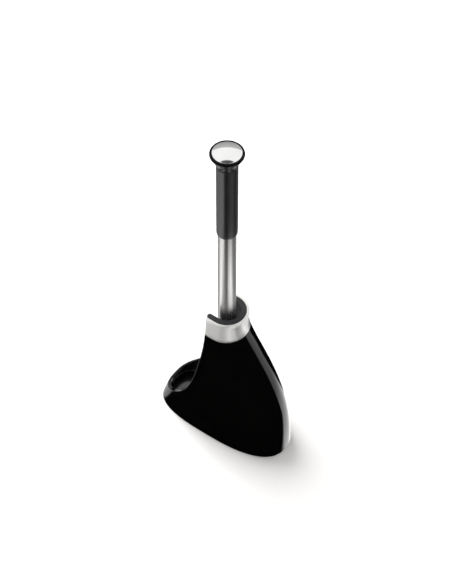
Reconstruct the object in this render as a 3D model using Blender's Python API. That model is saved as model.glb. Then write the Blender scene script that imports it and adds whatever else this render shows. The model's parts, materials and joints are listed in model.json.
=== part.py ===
"""Toilet plunger standing in its open-fronted caddy, as separate pieces.

Metres, +Z up. The origin is on the floor, on the axis of the plunger's tube. The caddy opens towards -Y.
"""

import math

import bmesh
import bpy
from mathutils import Matrix

MM = 0.001
GAP = 0.3 * MM

# Caddy shell: an egg-shaped footprint that rises as a fin to a round neck behind the tube.
SHELL_BOTTOM = 0.8 * MM
SHELL_TOP = 226.0 * MM
SHELL_WALL = 4.0 * MM
BASE_HALF_WIDTH = 51.0 * MM
BASE_REACH = 112.5 * MM
NECK_HALF_WIDTH = 36.0 * MM
NECK_REACH = 34.5 * MM
WIDTH_POWERS = (3.9, 2.0)
SPINE_POWERS = (2.46, 1.21)
FRONT_LEAN = 0.322
BACK_ROUNDNESS = (2.5, 2.0)
FRONT_ROUNDNESS = 3.0
SHELL_POINTS = 64
SHELL_RINGS = 13

# Side view of the open front: the four handles of one curve in (y, z), down the edge and out over the lip.
MOUTH_CURVE = ((-16.0, 226.6), (-21.0, 112.0), (-44.0, 60.0), (-101.0, 33.0))
MOUTH_STEPS = 18
LIP_END = (-130.0, 32.0)

# Floor of the caddy: tray, ballast, cover plate, screws and feet.
TRAY_BOTTOM = 4.7 * MM
TRAY_UNDERSIDE = 8.0 * MM
TRAY_FLOOR = 13.0 * MM
TRAY_TOP = 16.0 * MM
TRAY_WALL = 2.5 * MM
BALLAST_Z = (4.8 * MM, 7.6 * MM)
BALLAST_INSET = 10.0 * MM
PLATE_Z = (1.6 * MM, 4.4 * MM)
FOOT_RADIUS = 7.0 * MM
FOOT_TOP = 1.3 * MM
FOOT_CHAMFER = 0.4 * MM
FOOT_PLACES = (30.0 * MM, 55.0 * MM)
BASE_SCREW_PLACES = (22.0 * MM, 82.0 * MM)
BASE_SCREW_TIP = 11.2 * MM
BASE_SCREW_SHANK = 1.9 * MM
BASE_SCREW_HEAD = 4.0 * MM
BASE_SCREW_HEAD_Z = (1.7 * MM, 2.9 * MM)
BASE_SCREW_RIM = 0.5 * MM
SCREW_POINT = 1.0 * MM
SCREW_CLEARANCE = 0.4 * MM

# Metal collar, its dark insert, three magnets and the plate that holds them.
COLLAR_BOTTOM = SHELL_TOP + GAP
COLLAR_TOP = 261.4 * MM
COLLAR_WAIST = 31.2 * MM
COLLAR_LIP = 33.3 * MM
COLLAR_ARM_REACH = 60.0 * MM
COLLAR_FRONT_ROUNDNESS = 2.4
COLLAR_WALL = 3.0 * MM
ARM_END = -16.0 * MM
INSERT_ARM_END = -17.2 * MM
INSERT_RADIUS = 29.2 * MM
INSERT_TOP = 261.9 * MM
CHANNEL_RADIUS = 20.5 * MM
CHANNEL_STEPS = 24
HOLDER_Z = (221.5 * MM, 225.7 * MM)
MAGNET_RADIUS = 4.0 * MM
MAGNET_LENGTH = 4.6 * MM
MAGNET_HEIGHT = 245.0 * MM
MAGNET_ANGLES = (0.0, 90.0, 180.0)
COLLAR_SCREW_ANGLES = (45.0, 135.0)
COLLAR_SCREW_CIRCLE = 24.8 * MM
COLLAR_SCREW_TIP = 237.0 * MM
COLLAR_SCREW_SHANK = 1.5 * MM
COLLAR_SCREW_HEAD = (3.0 * MM, 1.8 * MM)
RING_POINTS = 48

# Handle: tube, grip, end cap.
TUBE_RADIUS = 13.5 * MM
TUBE_WALL = 1.2 * MM
TUBE_Z = (92.3 * MM, 569.5 * MM)
PLUG_RADIUS = TUBE_RADIUS - TUBE_WALL - GAP
GRIP_RADIUS = 15.5 * MM
GRIP_Z = (432.5 * MM, 569.5 * MM)
GRIP_END = (1.6 * MM, 5.0 * MM)
CAP_NECK_Z = 569.8 * MM
CAP_RIM_RADIUS = 24.5 * MM
CAP_TOP = 594.5 * MM
DISC_RADIUS = 21.0 * MM
DISC_DOME = 2.6 * MM
CAP_SEAT_DEPTH = 5.0 * MM
CAP_POCKET = (5.0 * MM, 4.0 * MM)
CAP_HOLE = 2.4 * MM
CAP_PLUG_DEPTH = 13.0 * MM
TOP_PLUG_LENGTH = 20.0 * MM
END_SCREW_LENGTH = 25.0 * MM
END_SCREW_SHANK = 2.1 * MM
END_SCREW_HEAD = (4.4 * MM, 3.0 * MM)
KEEPER_Z = (223.0 * MM, 263.0 * MM)
KEEPER_WALL = 1.5 * MM

# Rubber cup and the fastening through its hub.
CUP_BOTTOM = TRAY_FLOOR + GAP
CUP_RADIUS = 43.5 * MM
CUP_WALL = 4.0 * MM
HUB_RADIUS = 19.0 * MM
HUB_Z = (58.0 * MM, 86.0 * MM)
FLANGE_RADIUS = 27.0 * MM
FLANGE_WALL = 3.0 * MM
FLANGE_BOTTOM = 18.0 * MM
STUD_RADIUS = 4.0 * MM
STUD_CHAMFER = 0.6 * MM
WASHER_LOWER = (14.0 * MM, 2.0 * MM)
WASHER_UPPER = (15.5 * MM, 1.5 * MM)
NUT_SIZE = (7.2 * MM, 6.0 * MM)
PLUG_FLANGE_RADIUS = 16.0 * MM
END_PLUG_LENGTH = 30.0 * MM
STUD_ABOVE_FLANGE = 26.0 * MM
STUD_BELOW_NUT = 8.0 * MM
FERRULE_SKIRT = 6.0 * MM
FERRULE_HEIGHT = 17.0 * MM
FERRULE_CROWN_WALL = 1.2 * MM

# How many points a turned piece has round its axis, by size.
TURNED_POINTS = 40
MIDDLE_POINTS = 24
SMALL_POINTS = 16
SCREW_POINTS = 12

BLACK_GLOSS = ((0.004, 0.004, 0.004), 0.08, 0.0)
BLACK_SATIN = ((0.02, 0.02, 0.021), 0.45, 0.0)
BLACK_PLAIN = ((0.012, 0.012, 0.012), 0.5, 0.0)
DARK_GREY = ((0.05, 0.05, 0.055), 0.6, 0.0)
BRUSHED = ((0.62, 0.61, 0.6), 0.28, 1.0)
MIRROR = ((0.86, 0.86, 0.86), 0.06, 1.0)
ZINC = ((0.5, 0.5, 0.5), 0.4, 1.0)
RUBBER = ((0.015, 0.015, 0.015), 0.6, 0.0)


def clear_scene():
    for existing in list(bpy.data.objects):
        bpy.data.objects.remove(existing, do_unlink=True)


def finish_material(name, finish):
    colour, roughness, metallic = finish
    material = bpy.data.materials.new(name)
    material.use_nodes = True
    shader = material.node_tree.nodes["Principled BSDF"]
    shader.inputs["Base Color"].default_value = (*colour, 1.0)
    shader.inputs["Roughness"].default_value = roughness
    shader.inputs["Metallic"].default_value = metallic
    return material


def add_piece(name, mesh_data, finish, crease=35.0):
    """Makes one object out of a bmesh, with its faces pointing out, and gives it a material of its own."""
    bmesh.ops.recalc_face_normals(mesh_data, faces=mesh_data.faces)
    mesh = bpy.data.meshes.new(name)
    mesh_data.to_mesh(mesh)
    mesh_data.free()
    mesh.shade_smooth()
    mesh.set_sharp_from_angle(angle=math.radians(crease))
    piece = bpy.data.objects.new(name, mesh)
    bpy.context.scene.collection.objects.link(piece)
    if finish:
        mesh.materials.append(finish_material(name + "_finish", finish))
    return piece


def cut(piece, cutter):
    """Takes one piece's shape out of another and keeps the cutter as a hidden guide."""
    boolean = piece.modifiers.new("cut_" + cutter.name, "BOOLEAN")
    boolean.operation = "DIFFERENCE"
    boolean.object = cutter
    cutter.hide_render = True
    cutter.display_type = "WIRE"


def loft(rings):
    """Joins equal rings of (x, y, z) points, bottom to top, and closes both ends."""
    mesh_data = bmesh.new()
    levels = [[mesh_data.verts.new(point) for point in ring] for ring in rings]
    count = len(levels[0])
    for lower, upper in zip(levels, levels[1:]):
        for i in range(count):
            j = (i + 1) % count
            mesh_data.faces.new((lower[i], lower[j], upper[j], upper[i]))
    mesh_data.faces.new(reversed(levels[0]))
    mesh_data.faces.new(levels[-1])
    return mesh_data


def turned(profile, points=TURNED_POINTS):
    """Turns a closed profile of (radius, z) points about the Z axis. Points on the axis become poles."""
    mesh_data = bmesh.new()
    rings = []
    for radius, z in profile:
        if radius == 0.0:
            rings.append([mesh_data.verts.new((0.0, 0.0, z))])
            continue
        steps = [2.0 * math.pi * i / points for i in range(points)]
        rings.append([mesh_data.verts.new((radius * math.cos(a), radius * math.sin(a), z)) for a in steps])
    for ring, following in zip(rings, rings[1:] + rings[:1]):
        for i in range(points):
            j = (i + 1) % points
            corners = [ring[i % len(ring)], ring[j % len(ring)]]
            corners += [following[j % len(following)], following[i % len(following)]]
            different = list(dict.fromkeys(corners))
            if len(different) > 2:
                mesh_data.faces.new(different)
    return mesh_data


def arc(centre, radius, start, end, steps):
    """Points of a circular arc in (radius, z), angles in degrees."""
    turns = [math.radians(start + (end - start) * i / steps) for i in range(steps + 1)]
    return [(centre[0] + radius * math.cos(a), centre[1] + radius * math.sin(a)) for a in turns]


def bezier(handles, steps):
    """Points along a cubic curve."""
    points = []
    for i in range(steps + 1):
        t = i / steps
        weights = ((1 - t) ** 3, 3 * t * (1 - t) ** 2, 3 * t * t * (1 - t), t**3)
        points.append(tuple(sum(w * h[k] for w, h in zip(weights, handles)) for k in range(2)))
    return points


def placed(mesh_data, x=0.0, y=0.0, z=0.0):
    bmesh.ops.translate(mesh_data, verts=mesh_data.verts, vec=(x, y, z))
    return mesh_data


def cylinder(radius, bottom, top, points=SMALL_POINTS):
    return turned([(0.0, bottom), (radius, bottom), (radius, top), (0.0, top)], points)


def box(low, high):
    mesh_data = bmesh.new()
    middle = [(a + b) / 2 for a, b in zip(low, high)]
    size = [b - a for a, b in zip(low, high)]
    place = Matrix.Translation(middle) @ Matrix.Diagonal((*size, 1.0))
    bmesh.ops.create_cube(mesh_data, size=1.0, matrix=place)
    return mesh_data


def egg(half_width, back, front, back_roundness, front_roundness, z, points):
    """One level outline. The back half and the front half are superellipses that meet on the X axis."""
    outline = []
    for i in range(points):
        angle = 2.0 * math.pi * i / points
        across, along = math.cos(angle), math.sin(angle)
        behind = along >= 0.0
        power = 2.0 / (back_roundness if behind else front_roundness)
        x = half_width * math.copysign(abs(across) ** power, across)
        y = (back if behind else front) * math.copysign(abs(along) ** power, along)
        outline.append((x, y, z))
    return outline


def shell_outline(z, inset=0.0, points=SHELL_POINTS):
    """The caddy's level outline at a height, moved inwards by an inset."""
    rise = min(max((z - SHELL_BOTTOM) / (SHELL_TOP - SHELL_BOTTOM), 0.0), 1.0)
    width_share = (1.0 - rise ** WIDTH_POWERS[0]) ** WIDTH_POWERS[1]
    spine_share = (1.0 - rise ** SPINE_POWERS[0]) ** SPINE_POWERS[1]
    half_width = NECK_HALF_WIDTH + (BASE_HALF_WIDTH - NECK_HALF_WIDTH) * width_share
    back = NECK_REACH + (BASE_REACH - NECK_REACH) * spine_share
    front = BASE_REACH - FRONT_LEAN * rise * (SHELL_TOP - SHELL_BOTTOM)
    back_roundness = BACK_ROUNDNESS[0] + (BACK_ROUNDNESS[1] - BACK_ROUNDNESS[0]) * rise
    sizes = (half_width - inset, back - inset, front - inset)
    return egg(*sizes, back_roundness, FRONT_ROUNDNESS, z, points)


def level_slab(bottom, top, inset):
    """A flat slab with the caddy's outline, moved inwards."""
    return loft([shell_outline(bottom, inset), shell_outline(top, inset)])


def corners(places):
    """The four mirrored positions of one (x, y) pair."""
    return [(sx * places[0], sy * places[1]) for sy in (-1, 1) for sx in (-1, 1)]


def make_shell():
    heights = [SHELL_BOTTOM + (SHELL_TOP - SHELL_BOTTOM) * i / (SHELL_RINGS - 1) for i in range(SHELL_RINGS)]
    shell = add_piece("cover_shell", loft([shell_outline(z) for z in heights]), BLACK_GLOSS, 50.0)
    below, above = SHELL_BOTTOM - 2 * MM, SHELL_TOP + 2 * MM
    inner = [shell_outline(z, SHELL_WALL) for z in heights]
    inner = [[(x, y, below) for x, y, _ in inner[0]]] + inner + [[(x, y, above) for x, y, _ in inner[-1]]]
    cut(shell, add_piece("guide_shell_hollow", loft(inner), None))
    side = [(y * MM, z * MM) for y, z in bezier(MOUTH_CURVE, MOUTH_STEPS) + [LIP_END]]
    side += [(LIP_END[0] * MM, above), (MOUTH_CURVE[0][0] * MM, above)]
    reach = 2 * BASE_HALF_WIDTH
    mouth = loft([[(sx * reach, y, z) for y, z in side] for sx in (-1, 1)])
    cut(shell, add_piece("guide_mouth", mouth, None))


def make_floor():
    """Tray, ballast, cover plate, four screws and four feet."""
    fit = SHELL_WALL + GAP
    tray = add_piece("base_tray", level_slab(TRAY_BOTTOM, TRAY_TOP, fit + GAP), BLACK_GLOSS)
    hollow_inset = fit + TRAY_WALL
    cut(tray, add_piece("guide_tray_top", level_slab(TRAY_FLOOR, TRAY_TOP + MM, hollow_inset), None))
    cut(tray, add_piece("guide_tray_under", level_slab(TRAY_BOTTOM - MM, TRAY_UNDERSIDE, hollow_inset), None))
    ballast = add_piece("ballast_plate", level_slab(*BALLAST_Z, BALLAST_INSET), ZINC)
    plate = add_piece("base_plate", level_slab(*PLATE_Z, fit), BLACK_PLAIN)
    for number, (x, y) in enumerate(corners(BASE_SCREW_PLACES), 1):
        hole = BASE_SCREW_SHANK + SCREW_CLEARANCE
        pocket = BASE_SCREW_HEAD + SCREW_CLEARANCE
        step = BASE_SCREW_HEAD_Z[1] + GAP
        bottom, top = PLATE_Z[0] - MM, BASE_SCREW_TIP + GAP
        profile = [(0.0, bottom), (pocket, bottom), (pocket, step), (hole, step), (hole, top), (0.0, top)]
        guide = add_piece(f"guide_base_screw_{number}", placed(turned(profile, SMALL_POINTS), x, y), None)
        for holed in (tray, ballast, plate):
            cut(holed, guide)
        low, high = BASE_SCREW_HEAD_Z
        profile = [(0.0, low), (BASE_SCREW_HEAD, low), (BASE_SCREW_HEAD, low + BASE_SCREW_RIM)]
        profile += [(BASE_SCREW_SHANK, high), (BASE_SCREW_SHANK, BASE_SCREW_TIP - SCREW_POINT)]
        profile += [(0.0, BASE_SCREW_TIP)]
        add_piece(f"base_screw_{number}", placed(turned(profile, SMALL_POINTS), x, y), ZINC)
    for number, (x, y) in enumerate(corners(FOOT_PLACES), 1):
        sole = FOOT_RADIUS - FOOT_CHAMFER
        profile = [(0.0, 0.0), (sole, 0.0), (FOOT_RADIUS, FOOT_CHAMFER), (FOOT_RADIUS, FOOT_TOP)]
        foot = placed(turned(profile + [(0.0, FOOT_TOP)], SMALL_POINTS), x, y)
        add_piece(f"foot_pad_{number}", foot, RUBBER)


def channel_guide(name, bottom, top):
    """Cutter for the slot that the tube stands in: a half round that runs out to the front."""
    steps = [math.pi * i / CHANNEL_STEPS for i in range(CHANNEL_STEPS + 1)]
    outline = [(CHANNEL_RADIUS * math.cos(a), CHANNEL_RADIUS * math.sin(a)) for a in steps]
    outline += [(-CHANNEL_RADIUS, -BASE_HALF_WIDTH), (CHANNEL_RADIUS, -BASE_HALF_WIDTH)]
    return add_piece(name, loft([[(x, y, z) for x, y in outline] for z in (bottom, top)]), None)


def front_guide(name, arm_end):
    """Cutter that takes off everything in front of the collar's arm ends."""
    reach = 2 * BASE_HALF_WIDTH
    low, high = (-reach, -reach, HOLDER_Z[0] - MM), (reach, arm_end, COLLAR_TOP + MM)
    return add_piece(name, box(low, high), None)


def make_collar():
    """The metal band, its insert, the magnets in the insert and the holder plate under it."""
    height = COLLAR_TOP - COLLAR_BOTTOM
    waist, lip = COLLAR_WAIST, COLLAR_LIP
    levels = (
        (0.0, NECK_HALF_WIDTH, NECK_REACH),
        (0.12, NECK_HALF_WIDTH - 1.7 * MM, NECK_REACH - 1.6 * MM),
        (0.34, waist + 2.2 * MM, waist + 0.2 * MM),
        (0.60, waist + 1.6 * MM, waist),
        (0.94, lip, lip),
        (1.0, lip - 0.4 * MM, lip - 0.4 * MM),
    )

    def ring(share, half_width, back, inset=0.0):
        z = COLLAR_BOTTOM + height * share
        sizes = (half_width - inset, back - inset, COLLAR_ARM_REACH)
        return egg(*sizes, 2.0, COLLAR_FRONT_ROUNDNESS, z, RING_POINTS)

    band = add_piece("collar_band", loft([ring(*level) for level in levels]), BRUSHED)
    bore = INSERT_RADIUS + GAP
    flare = [ring(*level, COLLAR_WALL) for level in levels[:2]]
    straight_heights = (COLLAR_BOTTOM + height * levels[2][0], COLLAR_TOP + MM)
    straight = [egg(bore, bore, COLLAR_ARM_REACH, 2.0, COLLAR_FRONT_ROUNDNESS, z, RING_POINTS)
                for z in straight_heights]
    under = [(x, y, COLLAR_BOTTOM - MM) for x, y, _ in flare[0]]
    cut(band, add_piece("guide_band_bore", loft([under, flare[1], *straight]), None))
    front = front_guide("guide_arm_ends", ARM_END)
    cut(band, front)

    sizes = (INSERT_RADIUS, INSERT_RADIUS, COLLAR_ARM_REACH, 2.0, COLLAR_FRONT_ROUNDNESS)
    insert_rings = [egg(*sizes, z, RING_POINTS) for z in (COLLAR_BOTTOM, INSERT_TOP)]
    insert = add_piece("collar_insert", loft(insert_rings), DARK_GREY)
    holder = add_piece("collar_holder", level_slab(*HOLDER_Z, SHELL_WALL + 2 * GAP), BLACK_PLAIN)
    channel = channel_guide("guide_channel", HOLDER_Z[0] - MM, COLLAR_TOP + MM)
    for piece, guide in ((insert, front_guide("guide_insert_ends", INSERT_ARM_END)), (holder, front)):
        cut(piece, channel)
        cut(piece, guide)
    for number, angle in enumerate(MAGNET_ANGLES, 1):
        turn = Matrix.Rotation(math.radians(angle), 4, "Z") @ Matrix.Rotation(math.radians(90.0), 4, "Y")
        outer = INSERT_RADIUS - GAP
        pocket = cylinder(MAGNET_RADIUS + GAP, outer - MAGNET_LENGTH - GAP, INSERT_RADIUS + MM)
        magnet = cylinder(MAGNET_RADIUS, outer - MAGNET_LENGTH, outer - GAP)
        for mesh_data in (pocket, magnet):
            bmesh.ops.transform(mesh_data, matrix=turn, verts=mesh_data.verts)
            placed(mesh_data, z=MAGNET_HEIGHT)
        cut(insert, add_piece(f"guide_magnet_{number}", pocket, None))
        add_piece(f"collar_magnet_{number}", magnet, ZINC)
    for number, angle in enumerate(COLLAR_SCREW_ANGLES, 1):
        x = COLLAR_SCREW_CIRCLE * math.cos(math.radians(angle))
        y = COLLAR_SCREW_CIRCLE * math.sin(math.radians(angle))
        shank, (head, head_height) = COLLAR_SCREW_SHANK, COLLAR_SCREW_HEAD
        hole = cylinder(shank + GAP, HOLDER_Z[0] - MM, COLLAR_SCREW_TIP + GAP, SCREW_POINTS)
        guide = add_piece(f"guide_collar_screw_{number}", placed(hole, x, y), None)
        cut(insert, guide)
        cut(holder, guide)
        under = HOLDER_Z[0] - GAP
        profile = [(0.0, under - head_height), (head, under - head_height), (head, under), (shank, under)]
        profile += [(shank, COLLAR_SCREW_TIP - SCREW_POINT), (0.0, COLLAR_SCREW_TIP)]
        add_piece(f"collar_screw_{number}", placed(turned(profile, SCREW_POINTS), x, y), ZINC)


def make_handle():
    """Tube, keeper sleeve for the magnets, grip, end cap, its disc, and the screw and plug that hold it."""
    inner = TUBE_RADIUS - TUBE_WALL
    bottom, top = TUBE_Z
    tube = [(inner, bottom), (TUBE_RADIUS, bottom), (TUBE_RADIUS, top), (inner, top)]
    add_piece("rod_tube", turned(tube), BRUSHED)
    low, high = KEEPER_Z
    hollow = PLUG_RADIUS - KEEPER_WALL
    keeper = [(hollow, low), (PLUG_RADIUS, low), (PLUG_RADIUS, high), (hollow, high)]
    add_piece("keeper_sleeve", turned(keeper, MIDDLE_POINTS), ZINC)

    low, high = GRIP_Z
    bore = TUBE_RADIUS + GAP
    across, along = GRIP_END
    grip = [(bore, low)]
    quarter = arc((0.0, 0.0), 1.0, -90.0, 0.0, 5)
    grip += [(GRIP_RADIUS - across * (1 - c), low + along * (1 + s)) for c, s in quarter]
    grip += [(GRIP_RADIUS, high), (bore, high)]
    add_piece("grip_sleeve", turned(grip), BLACK_SATIN)

    seat = DISC_RADIUS + GAP
    seat_floor = CAP_TOP - CAP_SEAT_DEPTH
    hole, (pocket, pocket_depth) = CAP_HOLE, CAP_POCKET
    plug_bottom = CAP_NECK_Z - CAP_PLUG_DEPTH
    flare = [(GRIP_RADIUS, CAP_NECK_Z), (GRIP_RADIUS + 0.4 * MM, CAP_NECK_Z + 4 * MM),
             (GRIP_RADIUS + 3.0 * MM, CAP_NECK_Z + 11 * MM), (CAP_RIM_RADIUS - 1.0 * MM, CAP_TOP - 6 * MM)]
    profile = [(hole, plug_bottom), (PLUG_RADIUS, plug_bottom), (PLUG_RADIUS, CAP_NECK_Z)]
    profile += bezier(flare, 7)
    profile += arc((CAP_RIM_RADIUS - 1.6 * MM, CAP_TOP - 1.6 * MM), 1.6 * MM, -20.0, 90.0, 5)
    profile += [(seat, CAP_TOP), (seat, seat_floor), (pocket, seat_floor)]
    profile += [(pocket, seat_floor - pocket_depth), (hole, seat_floor - pocket_depth)]
    add_piece("end_cap", turned(profile), BLACK_GLOSS)

    edge_z = CAP_TOP - 0.6 * MM
    radius = (DISC_RADIUS**2 + DISC_DOME**2) / (2 * DISC_DOME)
    dome = []
    for i in range(6):
        r = DISC_RADIUS * (1 - i / 5)
        dome.append((r, edge_z + DISC_DOME - radius + math.sqrt(radius**2 - r**2)))
    disc = [(0.0, seat_floor + GAP), (DISC_RADIUS, seat_floor + GAP), *dome]
    add_piece("end_disc", turned(disc), MIRROR)

    shelf = seat_floor - pocket_depth + GAP
    tip = CAP_NECK_Z - END_SCREW_LENGTH
    head, head_height = END_SCREW_HEAD
    screw = [(0.0, tip), (END_SCREW_SHANK, tip + SCREW_POINT), (END_SCREW_SHANK, shelf), (head, shelf)]
    screw += [(head, shelf + head_height), (0.0, shelf + head_height)]
    add_piece("end_cap_screw", turned(screw, SMALL_POINTS), ZINC)
    top = plug_bottom - GAP
    bottom = top - TOP_PLUG_LENGTH
    plug = [(0.0, bottom), (PLUG_RADIUS, bottom), (PLUG_RADIUS, top), (hole, top), (hole, tip - GAP)]
    add_piece("tube_top_plug", turned(plug + [(0.0, tip - GAP)], MIDDLE_POINTS), BLACK_PLAIN)


def make_cup():
    """Rubber cup with its folding inner flange, and the stud, washers, nut and ferrule that fasten it."""
    hole = STUD_RADIUS + GAP
    ceiling, hub_top = HUB_Z
    bell = ((CUP_RADIUS - 1.5 * MM, 20 * MM), (CUP_RADIUS - 2.5 * MM, 49 * MM),
            (HUB_RADIUS + 7 * MM, 60 * MM), (HUB_RADIUS, 68 * MM))
    inside = ((FLANGE_RADIUS, 48 * MM), (CUP_RADIUS - 11 * MM, 44 * MM),
              (CUP_RADIUS - CUP_WALL - 3 * MM, 34 * MM), (CUP_RADIUS - CUP_WALL, CUP_BOTTOM + MM))
    cup = [(CUP_RADIUS - CUP_WALL + MM, CUP_BOTTOM), (CUP_RADIUS - 1 * MM, CUP_BOTTOM)]
    cup += arc((CUP_RADIUS - 2 * MM, CUP_BOTTOM + 2.5 * MM), 2 * MM, -45.0, 90.0, 4)
    cup += bezier(bell, 9)
    cup += [(HUB_RADIUS, hub_top - MM), (HUB_RADIUS - MM, hub_top), (hole, hub_top), (hole, ceiling)]
    cup += [(FLANGE_RADIUS - FLANGE_WALL - 3 * MM, ceiling), (FLANGE_RADIUS - FLANGE_WALL, ceiling - 3 * MM)]
    cup += [(FLANGE_RADIUS - FLANGE_WALL - 2 * MM, FLANGE_BOTTOM), (FLANGE_RADIUS - 2 * MM, FLANGE_BOTTOM)]
    cup += bezier(inside, 6)
    add_piece("rubber_cup", turned(cup), RUBBER)

    def washer(name, radius, bottom, top):
        ring = [(hole, bottom), (radius, bottom), (radius, top), (hole, top)]
        add_piece(name, turned(ring, MIDDLE_POINTS), ZINC)

    under_hub = ceiling - GAP
    washer("cup_washer_lower", WASHER_LOWER[0], under_hub - WASHER_LOWER[1], under_hub)
    nut_top = under_hub - WASHER_LOWER[1] - GAP
    nut_bottom = nut_top - NUT_SIZE[1]
    nut = add_piece("cup_nut", cylinder(NUT_SIZE[0], nut_bottom, nut_top, 6), ZINC, 20.0)
    cut(nut, add_piece("guide_nut_bore", cylinder(hole, nut_bottom - MM, nut_top + MM, SMALL_POINTS), None))
    base = hub_top + GAP
    washer("cup_washer_upper", WASHER_UPPER[0], base, base + WASHER_UPPER[1])
    shoulder = base + WASHER_UPPER[1] + GAP
    flange_top = TUBE_Z[0] - GAP
    plug_top = flange_top + END_PLUG_LENGTH
    plug = [(hole, shoulder), (PLUG_FLANGE_RADIUS, shoulder), (PLUG_FLANGE_RADIUS, flange_top)]
    plug += [(PLUG_RADIUS, flange_top), (PLUG_RADIUS, plug_top), (hole, plug_top)]
    add_piece("tube_end_plug", turned(plug, MIDDLE_POINTS), BLACK_PLAIN)
    stud_top, stud_bottom = flange_top + STUD_ABOVE_FLANGE, nut_top - STUD_BELOW_NUT
    point = STUD_RADIUS - STUD_CHAMFER
    stud = [(0.0, stud_bottom), (point, stud_bottom), (STUD_RADIUS, stud_bottom + STUD_CHAMFER)]
    stud += [(STUD_RADIUS, stud_top - STUD_CHAMFER), (point, stud_top), (0.0, stud_top)]
    add_piece("cup_stud", turned(stud, SMALL_POINTS), ZINC)
    bore, mouth = TUBE_RADIUS + GAP, PLUG_FLANGE_RADIUS + 2 * GAP
    crown = base + FERRULE_HEIGHT
    ferrule = [(mouth, base), (HUB_RADIUS, base), (HUB_RADIUS, base + FERRULE_SKIRT)]
    ferrule += [(bore + FERRULE_CROWN_WALL, crown), (bore, crown), (bore, flange_top + GAP)]
    ferrule += [(mouth, flange_top + GAP)]
    add_piece("neck_ferrule", turned(ferrule), BRUSHED)


clear_scene()
make_shell()
make_floor()
make_collar()
make_handle()
make_cup()
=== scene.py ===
import json
import math

import bmesh
import bpy
import numpy as np
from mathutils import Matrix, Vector

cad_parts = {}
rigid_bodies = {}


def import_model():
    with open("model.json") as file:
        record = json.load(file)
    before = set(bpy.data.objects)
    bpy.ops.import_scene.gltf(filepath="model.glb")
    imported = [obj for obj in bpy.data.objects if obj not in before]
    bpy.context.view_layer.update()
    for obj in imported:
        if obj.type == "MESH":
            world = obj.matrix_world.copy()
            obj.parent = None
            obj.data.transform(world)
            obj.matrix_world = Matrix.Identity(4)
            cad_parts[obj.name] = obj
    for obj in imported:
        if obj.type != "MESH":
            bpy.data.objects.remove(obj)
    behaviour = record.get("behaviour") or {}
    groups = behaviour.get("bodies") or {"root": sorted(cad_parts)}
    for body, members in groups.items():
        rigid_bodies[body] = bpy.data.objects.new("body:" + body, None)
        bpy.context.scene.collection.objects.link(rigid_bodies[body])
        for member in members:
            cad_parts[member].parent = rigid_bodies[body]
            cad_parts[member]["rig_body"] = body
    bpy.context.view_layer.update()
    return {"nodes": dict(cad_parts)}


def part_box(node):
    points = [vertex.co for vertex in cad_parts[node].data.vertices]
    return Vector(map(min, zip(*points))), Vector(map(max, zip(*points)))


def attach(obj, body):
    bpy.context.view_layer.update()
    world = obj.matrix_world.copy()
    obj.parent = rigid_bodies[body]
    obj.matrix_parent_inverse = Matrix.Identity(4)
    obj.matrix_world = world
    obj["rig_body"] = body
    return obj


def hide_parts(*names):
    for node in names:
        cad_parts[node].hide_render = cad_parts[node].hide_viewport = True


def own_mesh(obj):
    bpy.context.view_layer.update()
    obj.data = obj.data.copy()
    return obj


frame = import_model()

MM = 0.001
QUARTER_TURN = math.pi / 2.0
FULL_TURN = 2.0 * math.pi
MIRRORED = (-1, 1, 1)

# Camera: the heading and height of the view in degrees, its distance in metres, its lens in
# millimetres, and the point it looks at, as metres to the right of the axis and above the floor.
CAMERA_AZIMUTH = 126.0
CAMERA_ELEVATION = 50.0
CAMERA_DISTANCE = 2.78
CAMERA_LENS = 117.1
CAMERA_AIM = (-1.5 * MM, 301.9 * MM)

# The shell's rule. Its level outline is a superellipse whose width and spine draw in with height,
# whose front leans back, and whose back has one roundness at the foot and another at the neck.
WIDTH_POWERS = (3.9, 2.0)
SPINE_POWERS = (2.46, 1.21)
FRONT_LEAN = 0.322
BACK_ROUNDNESS = (2.5, 2.0)
FRONT_ROUNDNESS = 3.0
SHELL_WALL = 4.0 * MM
SHELL_LOW, SHELL_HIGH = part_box("cover_shell")
BAND_LOW, BAND_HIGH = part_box("collar_band")

# The side curve of the open front, as (depth, height) in millimetres, and where its lip runs on to.
MOUTH_CURVE = ((-16.0, 226.6), (-21.0, 112.0), (-44.0, 60.0), (-101.0, 33.0))
LIP_END = (-130.0, 32.0)

# The collar's arms.
ARM_REACH = 60.0 * MM
ARM_ROUNDNESS = 2.4

# Surroundings, in metres.
STAGE_SIDES = 96
FLOOR_RADIUS = 9.0
CARD_RADIUS = 30.0
CARD_DEPTH = -2.0 * MM
UPPER_CARD_RADII = (38.0 * MM, 0.45)
UPPER_CARD_HEIGHT = SHELL_HIGH.z + 1.5 * MM
BACKDROP_REACH = 8.0
FLOOR_GLOW = (0.45, 1.3)


# ---------------------------------------------------------------- meshes

def add_mesh(name, points, faces, node, finish, crease=40.0):
    """Makes a piece that stands for a CAD node, rides on its body and takes one of its finishes."""
    mesh = bpy.data.meshes.new(name)
    mesh.from_pydata([tuple(p) for p in points], [], faces)
    work = bmesh.new()
    work.from_mesh(mesh)
    bmesh.ops.recalc_face_normals(work, faces=work.faces)
    work.to_mesh(mesh)
    work.free()
    mesh.shade_smooth()
    mesh.set_sharp_from_angle(angle=math.radians(crease))
    mesh.materials.append(FINISHES[finish])
    piece = bpy.data.objects.new(name, mesh)
    bpy.context.scene.collection.objects.link(piece)
    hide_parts(node)
    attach(piece, frame["nodes"][node]["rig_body"])
    return piece


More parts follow.
